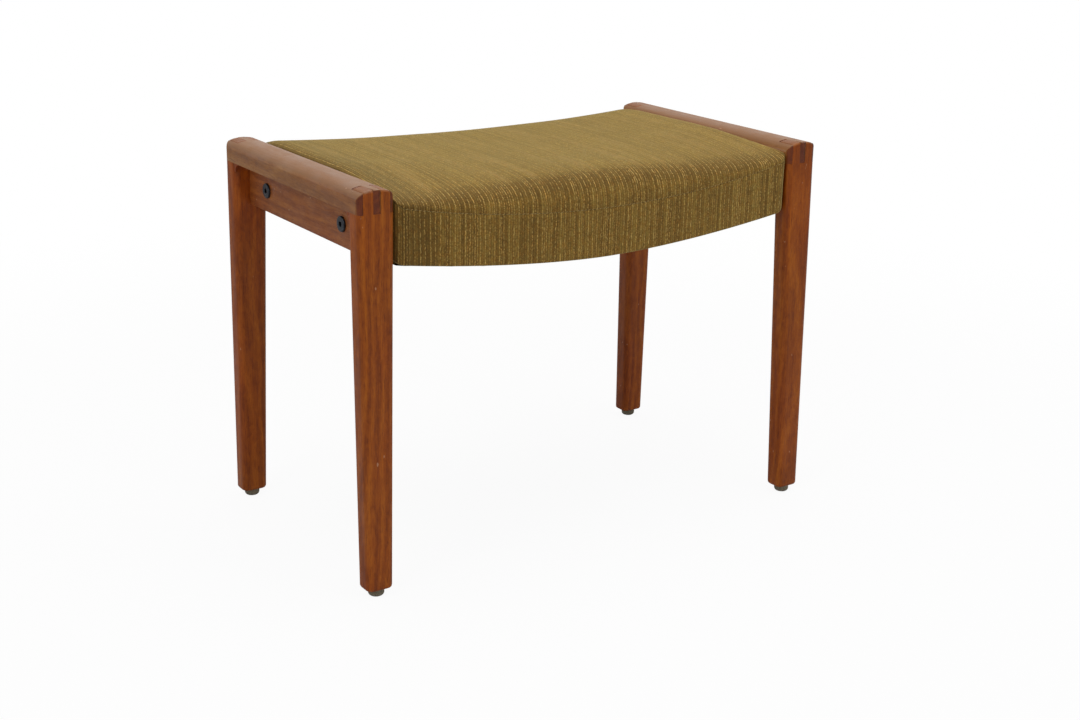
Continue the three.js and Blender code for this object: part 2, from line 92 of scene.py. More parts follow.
# Cloth
CLOTH_THICKNESS = 0.0012
CLOTH_SHARP_ANGLE = math.radians(50)
CORNER_RADIUS = 0.010
CORNER_RISE = 0.0065  # of the seam, round a corner
CORNER_HEM_EXTRA = 0.005  # how much rounder the band's lower edge is at a corner
TUCK_DEPTH = 0.0018  # how far the seam's edges are tucked in
TUCK_DROP = 0.0007
SEAM_SWELL = 0.0005  # how far the cloth swells out above and below the seam
SEAM_SWELL_REACH = 0.006
BAND_SWELL = 0.6  # the band's part of that swell
SEAM_CLEARANCE = 0.0003
BAND_LIP = 0.0004  # from the top of the band's face up to its upper edge
PUCKER = 0.00022
PUCKER_REACH = 0.012
PUCKER_PITCH = 0.013
CROWN_UNEVENNESS = 0.0006
HEM_TURN_UNDER = 0.013
HEM_RADIUS = 0.0025
HEM_CLEARANCE = 0.0003
PAD_EDGE_INSET = 0.002
RIB_PITCH = 0.0027

# Stitches of the seam
STITCH_PITCH = 0.0045
STITCH_LENGTH = 0.003
STITCH_THICKNESS = 0.0008
STITCH_DRIFT = 0.0006
STITCH_SLANT = 0.35
STITCH_SLANT_RANGE = 0.2
STITCH_SINK = 0.0001  # how far a stitch lies behind the band's face
STITCH_DROP = 0.0002  # and below the seam

# Swelling of the padded seat
PRESSURE = 4.0
SWELL_FRAMES = 20
SWELL_LIMIT = 0.0025
HELD_ROWS = 3  # of points by each seam

# Wood
ARRIS_RADIUS = 0.0022
EDGE_RADIUS = 0.0008
JOINT_CLOSING = 0.00011  # how far each wooden face grows, so that the glued joints look tight
SHARP_ANGLE = math.radians(28)
SAME_PLACE = 1e-6
SAME_PLANE = math.radians(0.5)
UPRIGHT_RISE = 0.05  # the most that an upright face's normal rises
END_REACH = 0.2  # the least that an end face's normal points along Y
TOP_RISE = 0.3  # the least that an upper face's normal rises

# How a board lay in its log, for each board number
BOARD_LEAN = 0.03
BOARD_TURN = 0.9
BOARD_OFFSET = (0.31, 0.17, 0.23)

# How finely the cloth is divided
CROWN_SAMPLES = 4001
CROWN_STEPS = 84
CROWN_STEP_LENGTH = 0.005
CROWN_STEP_TURN = math.radians(6)
SEAM_STEP_LENGTH = 0.0016
LEVEL_STEP = 0.0045
ROLL_STEPS = 9
WALL_STEPS = 7
CORNER_STEPS = 8
HEM_STEPS = 4
PAD_FLOOR_STEPS = 39
BAND_FACE_STEPS = 14
BAND_BACK_STEPS = 5
SLOPE_STEP = 0.001

# The photograph's camera
IMAGE_WIDTH_PX = 1080
FOCAL_LENGTH_PX = 1629.7
SENSOR_WIDTH_MM = 36
CAMERA_PLACE = Vector((-0.9245, -1.4331, 0.7071))
CAMERA_YAW = math.radians(-33.52)
CAMERA_PITCH = math.radians(17.90)
CAMERA_ROLL = math.radians(1.05)


# Objects and meshes


def placed(name, data):
    """Adds an object to the scene"""
    made = bpy.data.objects.new(name, data)
    bpy.context.scene.collection.objects.link(made)
    return made


def new_piece(name, mesh, material, replaced=()):
    """Adds a piece that rides with the stool and stands for the replaced solids"""
    piece = placed(name, mesh)
    mesh.materials.append(material)
    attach(piece, "root")
    if replaced:
        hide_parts(*replaced)
    return piece


def smooth(mesh, angle=SHARP_ANGLE):
    """Shades a mesh smooth, with sharp edges where its faces meet at more than the angle"""
    mesh.shade_smooth()
    mesh.set_sharp_from_angle(angle=angle)


def weighted_normals(piece):
    """Keeps flat faces flat beside rounded edges"""
    modifier = piece.modifiers.new("even shading", "WEIGHTED_NORMAL")
    modifier.keep_sharp = True
    modifier.weight = 100


def cad_solid(name):
    """A node's solid, to work on, with its flat faces whole"""
    solid = bmesh.new()
    solid.from_mesh(nodes[name].data)
    bmesh.ops.remove_doubles(solid, verts=solid.verts, dist=SAME_PLACE)
    bmesh.ops.dissolve_limit(solid, angle_limit=SAME_PLANE, verts=solid.verts, edges=solid.edges)
    return solid


def mesh_from(solid, name):
    """The mesh of a finished solid"""
    mesh = bpy.data.meshes.new(name)
    solid.to_mesh(mesh)
    solid.free()
    return mesh


def loft(name, rings, weave=None):
    """Skins closed rings of points into a closed mesh. weave gives each point's place in the cloth,
    with one more point to a ring than the ring has, for the face that closes it."""
    rings = np.asarray(rings, float)
    count, length = rings.shape[:2]
    places = [
        [(row, column), (row, column + 1), (row + 1, column + 1), (row + 1, column)]
        for row in range(count - 1) for column in range(length)]
    for row, order in ((0, -1), (count - 1, 1)):
        places.append([(row, column) for column in range(length)][::order])
    faces = [[row * length + column % length for row, column in face] for face in places]
    mesh = bpy.data.meshes.new(name)
    mesh.from_pydata(rings.reshape(-1, 3), [], faces)
    if weave is not None:
        layer = mesh.uv_layers.new(name="weave")
        flat = np.array([weave[row][column] for face in places for row, column in face], np.float32)
        layer.data.foreach_set("uv", flat.ravel())
    solid = bmesh.new()
    solid.from_mesh(mesh)
    bmesh.ops.recalc_face_normals(solid, faces=solid.faces)
    solid.to_mesh(mesh)
    solid.free()
    return mesh


def arc_lengths(points):
    """Distance along a line of points to each of them"""
    steps = np.linalg.norm(np.diff(np.asarray(points, float), axis=0), axis=1)
    return np.concatenate([[0], np.cumsum(steps)])


def uneven(x, y, seed):
    """Smooth noise from -1 to 1"""
    return noise.noise(Vector((x, y, seed)))


def slope_of(curve, x):
    """The angle at which a curve rises along X"""
    return math.atan2(curve(x + SLOPE_STEP) - curve(x - SLOPE_STEP), 2 * SLOPE_STEP)


# Node materials


class Finish:
    """A node material, built by short calls that each return a socket"""

    def __init__(self, name):
        self.material = bpy.data.materials.new(name)
        self.material.use_nodes = True
        self.tree = self.material.node_tree
        self.tree.nodes.clear()
        self.output = self.node("OutputMaterial")
        self.shader = self.node("BsdfPrincipled")
        self.put(self.output.inputs["Surface"], self.shader.outputs[0])

    def node(self, kind, inputs=(), **settings):
        made = self.tree.nodes.new(f"ShaderNode{kind}")
        for key, value in settings.items():
            setattr(made, key, value)
        for key, value in dict(inputs).items():
            self.put(made.inputs[key], value)
        return made

    def put(self, socket, value):
        """Links a socket to another, or sets its value"""
        if isinstance(value, bpy.types.NodeSocket):
            self.tree.links.new(value, socket)
        else:
            socket.default_value = value

    def set(self, **values):
        """Sets the shader's sockets; an underscore stands for a space"""
        for key, value in values.items():
            self.put(self.shader.inputs[key.replace("_", " ")], value)

    def math(self, operation, a, b=0.0, c=0.0):
        return self.node("Math", {0: a, 1: b, 2: c}, operation=operation).outputs[0]

    def times(self, a, b):
        return self.math("MULTIPLY", a, b)

    def weighed(self, value, weight, rest):
        """A value times its weight, plus the rest"""
        return self.math("MULTIPLY_ADD", value, weight, rest)

    def split(self, vector):
        return self.node("SeparateXYZ", {0: vector}).outputs

    def joined(self, x, y, z):
        return self.node("CombineXYZ", {0: x, 1: y, 2: z}).outputs[0]

    def noise(self, place, scale, detail=2.0, roughness=0.5, distortion=0.0):
        """Noise from 0 to 1, with the scale's number of waves to the metre along each axis"""
        scaled = self.node("VectorMath", {0: place, 1: scale}, operation="MULTIPLY").outputs[0]
        values = {"Vector": scaled, "Scale": 1.0, "Detail": detail, "Roughness": roughness}
        values["Distortion"] = distortion
        return self.node("TexNoise", values).outputs["Fac"]

    def random(self, value):
        return self.node("TexWhiteNoise", {"W": value}, noise_dimensions="1D").outputs["Value"]

    def mix(self, factor, a, b, blend="MIX"):
        inputs = {0: factor, 6: a, 7: b}
        return self.node("Mix", inputs, data_type="RGBA", blend_type=blend).outputs[2]

    def tinted(self, a, b):
        """One colour times another"""
        return self.mix(1.0, a, b, "MULTIPLY")

    def ramp(self, factor, stops):
        made = self.node("ValToRGB", {0: factor})
        for _ in stops[2:]:
            made.color_ramp.elements.new(0.5)
        for element, (place, shade) in zip(made.color_ramp.elements, stops):
            element.position = place
            element.color = shade
        return made.outputs[0]

    def step(self, value, low, high, to_low=0.0, to_high=1.0):
        """A smooth step between two values"""
        values = {"Value": value, "From Min": low, "From Max": high, "To Min": to_low, "To Max": to_high}
        return self.node("MapRange", values, interpolation_type="SMOOTHSTEP").outputs[0]

    def attribute(self, name, output="Vector"):
        return self.node("Attribute", attribute_name=name).outputs[output]

    def place(self):
        return self.node("TexCoord").outputs["Object"]

    def facing(self):
        """The surface's outward direction, as X, Y and Z"""
        return self.split(self.node("NewGeometry").outputs["Normal"])

    def bump(self, height, distance, strength, **over):
        values = {"Height": height, "Distance": distance, "Strength": strength, **over}
        return self.node("Bump", values).outputs[0]


def colour(red, green, blue):
    """An sRGB colour, 0 to 255, as Blender's linear one"""
    channels = [value / 255 for value in (red, green, blue)]
    linear = [c / 12.92 if c <= 0.04045 else ((c + 0.055) / 1.055) ** 2.4 for c in channels]
    return (*linear, 1.0)


def grey(value):
    """A linear grey"""
    return (value, value, value, 1.0)


# Colours of the wool
DARK_YARN = colour(100, 74, 27)
BROWN_YARN = colour(125, 96, 41)
OLIVE_YARN = colour(140, 114, 52)
MUSTARD_YARN = colour(188, 154, 86)
# The top's paler colour: partly fading, partly painted sheen
FADED_AND_SHEEN_YARN = colour(132, 109, 49)
# A dark yarn colour, used as painted shade on the shoulder and for the left end's dark stripes
DARK_STRIPE_AND_SHADE_YARN = colour(94, 70, 27)
WORN_YARN = colour(152, 122, 68)
WARM_TINT = colour(255, 226, 180)
WOOL_SHEEN = colour(255, 240, 168)

# Colours of the teak
LEG_TONES = (colour(120, 55, 7), colour(151, 76, 11), colour(172, 95, 20))
TOP_RAIL_TONES = (colour(120, 72, 27), colour(144, 91, 38), colour(160, 109, 52))
SIDE_RAIL_TONES = (colour(120, 63, 22), colour(145, 82, 31), colour(162, 99, 42))
RAIL_END_TINT = colour(194, 140, 58)
LEG_END_TINT = colour(248, 240, 236)
RED_TINT = colour(240, 206, 196)
PORE_TINT = colour(200, 180, 170)
VEIN_TINT = colour(214, 200, 190)
FADED_TEAK = colour(128, 86, 46)
BARE_TEAK = colour(206, 158, 122)


def teak(name, along, tones, end_tint, roughness, gloss):
    """Oiled teak, cut from a solid log: the attribute grain gives the place in the board, with Z along it.
    Its ends are darker, and the light has faded what faces up."""
    dark, middle, light = tones
    mat = Finish(name)
    grain = mat.attribute("grain")
    x, y, _ = mat.split(grain)
    facing = mat.facing()

    # Growth rings, streaks and mottle
    sway = mat.noise(grain, (16, 16, 3.5))
    ring = mat.weighed(sway, 5.0, mat.weighed(y, 50, mat.times(x, 90)))
    late = mat.step(mat.math("PINGPONG", ring, 0.5), 0.1, 0.5)
    broad = mat.noise(grain, (120, 120, 4.5), detail=3, roughness=0.6)
    fine = mat.noise(grain, (900, 900, 22), detail=3, roughness=0.6)
    mottle = mat.noise(grain, (190, 190, 80), detail=4, roughness=0.65, distortion=0.6)
    tone = mat.weighed(broad, 0.22, mat.times(fine, 0.3))
    tone = mat.weighed(late, 0.12, mat.weighed(mottle, 0.36, tone))
    wood = mat.ramp(tone, [(0.36, dark), (0.5, middle), (0.65, light)])
    patch = mat.noise(grain, (16, 16, 5), detail=3)
    wood = mat.mix(mat.step(patch, 0.35, 0.68, 0.0, 0.55), wood, mat.tinted(wood, RED_TINT))

    # Pores and veins
    pore = mat.step(mat.noise(grain, (2400, 2400, 110), detail=1), 0.6, 0.67)
    wood = mat.mix(mat.times(pore, 0.6), wood, mat.tinted(dark, PORE_TINT))
    vein = mat.step(mat.noise(grain, (620, 620, 30), detail=1), 0.66, 0.76, 0.0, 0.45)
    wood = mat.mix(vein, wood, mat.tinted(dark, VEIN_TINT))

    # Faded upper faces and dark end grain
    up = mat.step(facing[2], 0.2, 0.65, 0.0, 0.85)
    wood = mat.mix(up, wood, mat.mix(mat.step(broad, 0.3, 0.7, 0.2, 0.0), FADED_TEAK, dark))
    end = mat.step(mat.math("ABSOLUTE", facing["XYZ".index(along)]), 0.08, 0.5)
    wood = mat.mix(end, wood, mat.tinted(wood, end_tint))

    # Worn arrises, nicks and dents
    eased = mat.attribute("worn", "Fac")
    rub = mat.noise(grain, (60, 60, 24), detail=4, roughness=0.65)
    worn = mat.times(eased, mat.step(rub, 0.35, 0.65))
    wood = mat.mix(mat.times(worn, 0.35), wood, light)
    nick = mat.step(mat.noise(grain, (300, 300, 140), detail=0), 0.83, 0.87, 0.0, 0.45)
    wood = mat.mix(nick, wood, BARE_TEAK)
    dent = mat.step(mat.noise(grain, (60, 60, 34), detail=0), 0.72, 0.80)
    relief = mat.weighed(pore, -0.5, mat.times(fine, 0.5))
    dull = mat.step(rub, 0.25, 0.75, roughness - 0.07, roughness + 0.09)
    mat.set(
        Base_Color=wood,
        Roughness=mat.weighed(eased, -0.14, dull),
        Normal=mat.bump(mat.times(dent, -1.0), 0.0004, 0.5, Normal=mat.bump(relief, 0.00015, 0.5)),
        Specular_IOR_Level=gloss,
    )
    return mat.material


def plain_wood(name, dark, light, along):
    """Bare planed wood of the hidden frame, its grain along one axis"""
    mat = Finish(name)
    stretch = tuple(9 if axis == along else 320 for axis in "XYZ")
    streak = mat.noise(mat.place(), stretch, detail=3, roughness=0.6)
    fleck = mat.noise(mat.place(), tuple(4 * scale for scale in stretch), detail=1)
    wood = mat.ramp(streak, [(0.3, dark), (0.7, light)])
    wood = mat.mix(mat.step(fleck, 0.6, 0.7, 0.0, 0.4), wood, dark)
    mat.set(
        Base_Color=wood,
        Roughness=mat.step(streak, 0.2, 0.8, 0.62, 0.8),
        Normal=mat.bump(fleck, 0.0002, 0.4),
    )
    return mat.material


def striped_wool(name, shift):
    """Wool woven lengthwise in dark brown and olive, with a thin pale yarn here and there. Fading and a
    painted sheen have evened it out on top. The shift sets one piece's stripes off from another's."""
    mat = Finish(name)
    u, v, _ = mat.split(mat.node("UVMap", uv_map="weave").outputs[0])
    up = mat.facing()[2]

    # The left end has kept its dark stripes and carries painted shade beside the leg and rail, and the middle
    # is worn most
    unfaded_and_shaded = mat.step(u, -0.214, -0.182, 1.0, 0.0)
    worn = mat.step(mat.math("ABSOLUTE", u), 0.12, 0.23, 1.0, 0.4)

    # The ribs, their numbers and the place across each
    drift = mat.noise(mat.joined(u, v, 1.0), (40, 18, shift))
    u = mat.weighed(drift, 0.003, mat.math("ADD", u, shift))
    rib = mat.times(u, 1 / RIB_PITCH)
    number = mat.math("FLOOR", rib)
    across = mat.math("FRACT", rib)
    cloth = mat.joined(u, v, 1.0)
    ribs = mat.joined(number, v, 1.0)

    # The pale yarns, stronger in every second rib, waver and are beaded
    main = mat.math("LESS_THAN", mat.math("FRACT", mat.weighed(number, 0.5, 0.25)), 0.5)
    pick = mat.weighed(mat.random(number), 0.6, mat.times(main, 0.4))
    other = mat.random(mat.math("ADD", number, 311.7))
    waver = mat.noise(ribs, (7.3, 330, 0), detail=1)
    line = mat.weighed(other, 0.4, mat.weighed(waver, 0.7, -0.05))
    apart = mat.math("ABSOLUTE", mat.math("SUBTRACT", across, line))
    pale = mat.step(apart, 0.12, 0.24, 1.0, 0.0)
    bead = mat.noise(ribs, (3.1, 420, 4), detail=1)
    pale = mat.times(pale, mat.step(bead, 0.38, 0.62, 0.12, 1.0))
    pale = mat.times(pale, mat.step(pick, 0.25, 0.62, 0.08, 0.95))

    # The ground, with painted shade on the shoulder over the seam
    slow = mat.noise(cloth, (150, 2, shift), detail=3, roughness=0.7)
    fleck = mat.noise(cloth, (560, 640, shift), roughness=0.7)
    ground = mat.weighed(other, 0.2, mat.weighed(slow, 0.35, mat.times(fleck, 0.45)))
    wool = mat.ramp(ground, [(0.34, DARK_YARN), (0.5, BROWN_YARN), (0.66, OLIVE_YARN)])
    # Painted shade where the shoulder turns down to the seam
    shoulder = mat.times(mat.step(up, 0.3, 0.65, 0.0, 0.7), mat.step(up, 0.965, 0.998, 1.0, 0.0))
    # Dark stripes and painted shade at the left end, beside the leg and rail
    dark_stripe_and_shade = mat.times(unfaded_and_shaded, mat.step(slow, 0.46, 0.58, 0.95, 0.4))
    wool = mat.mix(mat.math("MAXIMUM", shoulder, dark_stripe_and_shade), wool, DARK_STRIPE_AND_SHADE_YARN)
    wool = mat.mix(mat.times(pale, mat.weighed(unfaded_and_shaded, -0.3, 1.0)), wool, MUSTARD_YARN)

    # Fading with painted sheen, and wear on top
    wool = mat.mix(mat.times(worn, mat.step(up, 0.93, 0.998, 0.0, 0.32)), wool, FADED_AND_SHEEN_YARN)
    streak = mat.step(mat.noise(cloth, (95, 7, 5), detail=3), 0.48, 0.66, 0.0, 0.55)
    wool = mat.mix(mat.times(mat.step(up, 0.93, 0.998), streak), wool, WORN_YARN)

    # Light and shade from yarn to yarn
    hair = mat.noise(cloth, (1500, 1100, shift), detail=3)
    cloud = mat.noise(cloth, (20, 20, shift))
    heather = mat.noise(cloth, (240, 120, 11), detail=3)
    crest = mat.math("POWER", mat.math("SINE", mat.times(across, math.pi)), 0.6)
    shade = mat.weighed(crest, 0.2, 0.86)
    for spots, weight in ((hair, 0.7), (cloud, 0.24), (fleck, 0.9), (heather, 0.9)):
        shade = mat.times(shade, mat.weighed(spots, weight, 1 - weight / 2))
    wool = mat.tinted(wool, mat.joined(shade, shade, shade))
    warmth = mat.step(mat.noise(cloth, (330, 190, 7), detail=3), 0.42, 0.62, 0.0, 0.5)
    wool = mat.mix(warmth, wool, mat.tinted(wool, WARM_TINT))
    height = mat.weighed(fleck, 0.5, mat.weighed(hair, 0.3, mat.times(crest, 0.4)))
    height = mat.weighed(pale, 0.5, height)
    mat.set(
        Base_Color=wool,
        Roughness=mat.step(hair, 0.2, 0.8, 0.84, 0.96),
        Normal=mat.bump(height, 0.0005, 0.8),
        Specular_IOR_Level=0.2,
        Sheen_Weight=0.5,
        Sheen_Roughness=0.4,
        Sheen_Tint=WOOL_SHEEN,
    )
    return mat.material


def woven(name, dark, light, pitch):
    """A plain weave, on the place in the object"""
    mat = Finish(name)
    x, y, _ = mat.split(mat.place())
    warp = mat.math("SINE", mat.times(x, 2 * math.pi / pitch))
    weft = mat.math("SINE", mat.times(y, 2 * math.pi / pitch))
    cross = mat.weighed(mat.times(warp, weft), 0.5, 0.5)
    slub = mat.noise(mat.place(), (300, 900, 300), detail=3, roughness=0.7)
    cloud = mat.noise(mat.place(), (14, 14, 14))
    tone = mat.weighed(cross, 0.3, mat.weighed(slub, 0.5, mat.times(cloud, 0.25)))
    mat.set(
        Base_Color=mat.ramp(tone, [(0.25, dark), (0.8, light)]),
        Roughness=mat.step(slub, 0.2, 0.8, 0.8, 0.95),
        Normal=mat.bump(mat.weighed(slub, 0.5, cross), pitch / 4, 0.7),
        Specular_IOR_Level=0.2,
        Sheen_Weight=0.15,
    )
    return mat.material


def metal(name, tint, roughness, wear):
    """Metal with fine scratches, brighter where it is worn"""
    mat = Finish(name)
    scratch = mat.noise(mat.place(), (900, 4200, 900), detail=4, roughness=0.7)
    worn = mat.step(mat.noise(mat.place(), (400, 400, 400), detail=3), 0.56, 0.72, 0.0, 0.6)
    mat.set(
        Base_Color=mat.mix(worn, tint, wear),
        Metallic=0.85,
        Roughness=mat.step(scratch, 0.25, 0.75, roughness - 0.08, roughness + 0.12),
        Normal=mat.bump(scratch, 0.00006, 0.5),
    )
    return mat.material


def moulded_plastic(name, dark, light):
    """Nylon, scuffed towards the floor"""
    mat = Finish(name)
    low = mat.step(mat.split(mat.place())[2], 0.0, 0.004, 1.0, 0.0)
    speck = mat.noise(mat.place(), (700, 700, 700), detail=4, roughness=0.7)
    tone = mat.ramp(speck, [(0.3, dark), (0.7, light)])
    scuff = mat.times(low, mat.step(speck, 0.4, 0.6))
    mat.set(
        Base_Color=mat.mix(scuff, tone, mat.mix(0.5, tone, grey(0.5))),
        Roughness=mat.step(speck, 0.2, 0.8, 0.42, 0.62),
        Normal=mat.bump(speck, 0.0002, 0.35),
    )
    return mat.material


def thread(name, tint):
    """Twisted sewing thread"""
    mat = Finish(name)
    twist = mat.noise(mat.place(), (5200, 1500, 5200))
    tone = mat.mix(mat.step(twist, 0.3, 0.7), tint, mat.mix(0.35, tint, grey(0.02)))
    mat.set(Base_Color=tone, Roughness=0.8, Normal=mat.bump(twist, 0.0002, 0.5), Sheen_Weight=0.2)
    return mat.material


LEG_TEAK = teak("teak leg", "Z", LEG_TONES, LEG_END_TINT, 0.46, 0.22)
RAIL_TEAK = teak("teak top rail", "Y", TOP_RAIL_TONES, RAIL_END_TINT, 0.42, 0.32)
SIDE_TEAK = teak("teak side rail", "Y", SIDE_RAIL_TONES, RAIL_END_TINT, 0.5, 0.3)
BEECH = plain_wood("beech", colour(168, 122, 78), colour(206, 166, 118), "Y")
LONG_BEECH = plain_wood("long beech", colour(168, 122, 78), colour(206, 166, 118), "X")
DOWEL_BEECH = plain_wood("dowel beech", colour(186, 146, 98), colour(222, 186, 140), "Y")
PANEL_WOOL = striped_wool("striped wool top", 0.0)
BAND_WOOL = striped_wool("striped wool band", 0.0375)
DUST_CLOTH = woven("black dust cloth", colour(22, 21, 20), colour(52, 50, 47), 0.0011)
JUTE = woven("jute webbing", colour(104, 80, 48), colour(166, 136, 90), 0.0026)
BLACK_STEEL = metal("blackened steel", colour(46, 50, 56), 0.36, colour(96, 100, 106))
ZINC = metal("zinc plated steel", colour(150, 150, 146), 0.34, colour(190, 190, 184))
NYLON = moulded_plastic("glide nylon", colour(92, 84, 66), colour(128, 118, 94))
SEAM_THREAD = thread("seam thread", colour(182, 148, 80))


# Wood pieces, from their solids


def sharp_edges(solid):
    """The edges where two faces meet at an angle"""
    joins = [edge for edge in solid.edges if len(edge.link_faces) == 2]
    return [edge for edge in joins if edge.calc_face_angle() >= SHARP_ANGLE]


def middle_of(edge):
    return (edge.verts[0].co + edge.verts[1].co) / 2


def outer_arrises(solid):
    """The edges where a rail's rounded top meets its end, over the rail's prongs and the leg's tongues"""
    found = []
    for edge in sharp_edges(solid):
        if min(v.co.z for v in edge.verts) < RAIL_UNDERSIDE + EDGE_RADIUS:
            continue
        (end_rise, end_reach), (top_rise, _) = sorted(
            (abs(face.normal.z), abs(face.normal.y)) for face in edge.link_faces)
        if end_rise < UPRIGHT_RISE and end_reach > END_REACH and top_rise > TOP_RISE:
            found.append(edge)
    return found


def plain_edges(solid):
    """The sharp edges outside the joints between legs and top rails"""
    found = []
    for edge in sharp_edges(solid):
        middle = middle_of(edge)
        at_top = middle.z > RAIL_UNDERSIDE - 2 * EDGE_RADIUS
        in_joint = at_top and abs(middle.y) > SIDE_RAIL_HALF_SPAN - EDGE_RADIUS
        if not in_joint and edge.calc_length() > 2 * EDGE_RADIUS:
            found.append(edge)
    return found


def bevelled(solid, edges, width, segments):
    """Rounds some edges, and gives the new faces"""
    made = bmesh.ops.bevel(
        solid, geom=edges, offset=width, segments=segments, profile=0.5, affect="EDGES", clamp_overlap=True)
    return made["faces"]


def wood_piece(name, along, material, board):
    """A fine copy of a wooden solid, its edges eased, with its place in the board it was cut from"""
    solid = cad_solid(name)
    grown = [vert.co + vert.normal * JOINT_CLOSING * vert.calc_shell_factor() for vert in solid.verts]
    for vert, place in zip(solid.verts, grown):
        vert.co = place
    worn = solid.faces.layers.float.new("worn")
    eased = bevelled(solid, outer_arrises(solid), ARRIS_RADIUS, 4)
    eased += bevelled(solid, plain_edges(solid), EDGE_RADIUS, 2)
    for face in eased:
        if face.is_valid:
            face[worn] = 1.0
    bmesh.ops.triangulate(solid, faces=[face for face in solid.faces if len(face.verts) > 4])
    mesh = mesh_from(solid, name)
    smooth(mesh)
    places = np.zeros(len(mesh.vertices) * 3, np.float32)
    mesh.vertices.foreach_get("co", places)
    order = {"X": (1, 2, 0), "Y": (2, 0, 1), "Z": (0, 1, 2)}[along]
    places = places.reshape(-1, 3)[:, order]
    lean = Matrix.Rotation(BOARD_LEAN * math.sin(board), 3, "X") @ Matrix.Rotation(BOARD_TURN * board, 3, "Z")
    places = places @ np.array(lean, np.float32).T + np.array(BOARD_OFFSET, np.float32) * board
    mesh.attributes.new("grain", "FLOAT_VECTOR", "POINT").data.foreach_set("vector", places.ravel())
    weighted_normals(new_piece(f"{name}_finished", mesh, material, [name]))


def side_frames():
    """The legs and rails, each from a board of its own"""
    for number, (end, side) in enumerate(CORNERS):
        wood_piece(f"leg_{end}_{side}", "Z", LEG_TEAK, number + 1)
    for number, side in enumerate(SIDES):
        wood_piece(f"top_rail_{side}", "Y", RAIL_TEAK, number + 5)
        wood_piece(f"side_rail_{side}", "Y", SIDE_TEAK, number + 7)


# Bolts and glides

TURNED_SIDES = 48
POINT_RADIUS = 0.0001  # of the small ring that closes a turned end
BOLT_HEAD_HEIGHT = 0.0022
BOLT_HEAD_RADIUS = 0.00775
BOLT_SHANK_RADIUS = 0.0039
SOCKET_RADIUS = 0.0025  # from the axis to a flat
SOCKET_DEPTH = 0.0045
GLIDE_HEIGHT = 0.0078
GLIDE_FACE_RADIUS = 0.005
GLIDE_EDGE_HEIGHT = 0.0036
GLIDE_NAIL_RADIUS = 0.0013
GLIDE_EDGE_STEPS = 7


def turned_piece(name, rings, place, material):
    """A piece turned about an axis, from (radius, height); a radius may be a function of the angle"""
    turns = np.linspace(0, 2 * math.pi, TURNED_SIDES, endpoint=False)
    loops = []
    for radius, height in rings:
        at = [radius(turn) if callable(radius) else radius for turn in turns]
        loops.append([(r * math.cos(t), r * math.sin(t), height) for r, t in zip(at, turns)])
    mesh = loft(name, loops)
    mesh.transform(place)
    smooth(mesh)
    weighted_normals(new_piece(f"{name}_finished", mesh, material, [name]))


def hexagon(turn):
    """The socket's distance from its axis at an angle"""
    sixth = math.pi / 3
    return SOCKET_RADIUS / math.cos(turn % sixth - sixth / 2)


def connector_bolt(end, side):
    """A low round head with a soft edge and a hexagon socket"""
    name = f"connector_bolt_{end}_{side}"
    low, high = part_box(name)
    length = high.x - low.x
    rings = [
        (POINT_RADIUS, SOCKET_DEPTH + 0.0006),
        (hexagon, SOCKET_DEPTH),
        (hexagon, 0.00045),
        (lambda turn: max(hexagon(turn), 1.08 * SOCKET_RADIUS), 0.00025),
        (1.24 * SOCKET_RADIUS, 0.00002),
        (1.34 * SOCKET_RADIUS, 0.0),
        (0.86 * BOLT_HEAD_RADIUS, 0.00002),
        (0.93 * BOLT_HEAD_RADIUS, 0.00018),
        (0.975 * BOLT_HEAD_RADIUS, 0.0005),
        (BOLT_HEAD_RADIUS, 0.00095),
        (BOLT_HEAD_RADIUS, BOLT_HEAD_HEIGHT),
        (BOLT_SHANK_RADIUS, BOLT_HEAD_HEIGHT),
        (BOLT_SHANK_RADIUS, length - 0.0008),
        (0.8 * BOLT_SHANK_RADIUS, length),
        (POINT_RADIUS, length),
    ]
    face = Vector((low.x if side == "left" else high.x, (low.y + high.y) / 2, (low.z + high.z) / 2))
    place = Matrix.Translation(face) @ Matrix.Rotation(-SIDES[side] * QUARTER_TURN, 4, "Y")
    turned_piece(name, rings, place, BLACK_STEEL)


def glide(end, side):
    """A round nylon foot with its nail"""
    name = f"glide_{end}_{side}"
    low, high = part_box(name)
    radius = (high.x - low.x) / 2
    rings = [(POINT_RADIUS, 0.0), (GLIDE_FACE_RADIUS, 0.0)]
    for share in np.linspace(0.15, 1, GLIDE_EDGE_STEPS):
        turn = share * QUARTER_TURN
        out = GLIDE_FACE_RADIUS + (radius - GLIDE_FACE_RADIUS) * math.sin(turn)
        rings.append((out, GLIDE_EDGE_HEIGHT * (1 - math.cos(turn))))
    rings += [
        (radius, GLIDE_HEIGHT - 0.0005),
        (radius - 0.0004, GLIDE_HEIGHT),
        (GLIDE_NAIL_RADIUS, GLIDE_HEIGHT),
        (GLIDE_NAIL_RADIUS, high.z - 2 * GLIDE_NAIL_RADIUS),
        (POINT_RADIUS, high.z),
    ]
    place = Matrix.Translation(((low.x + high.x) / 2, (low.y + high.y) / 2, 0))
    turned_piece(name, rings, place, NYLON)


# The seat's curves


def end_share(x, power):
    """0 at the seat's middle and 1 at its ends"""
    return np.minimum(np.abs(x) / SEAT_HALF_LENGTH, 1.0) ** power


def seam_curve(x):
    return STOOL_TOP - SEAM_DROP - SEAM_SAG * (1 - end_share(x, CURVE_POWER))


def seam_at(x):
    """The seam's height, drawn up round the corners"""
    return seam_curve(x) + CORNER_RISE * corner_normal(x)[0] ** 2


def underside_at(x):
    return STOOL_TOP - SEAM_DROP - BAND_HEIGHT - UNDERSIDE_SAG * (1 - end_share(x, UNDERSIDE_POWER))


def crown_at(x):
    return STOOL_TOP - CROWN_SAG * (1 - end_share(x, CURVE_POWER))


def bulge(share):
    """The crown from front to back: 1 at the middle, 0 at the seams"""
    return (1 - abs(share) ** CROWN_SIDE_POWER) ** (1 / CROWN_TOP_POWER)


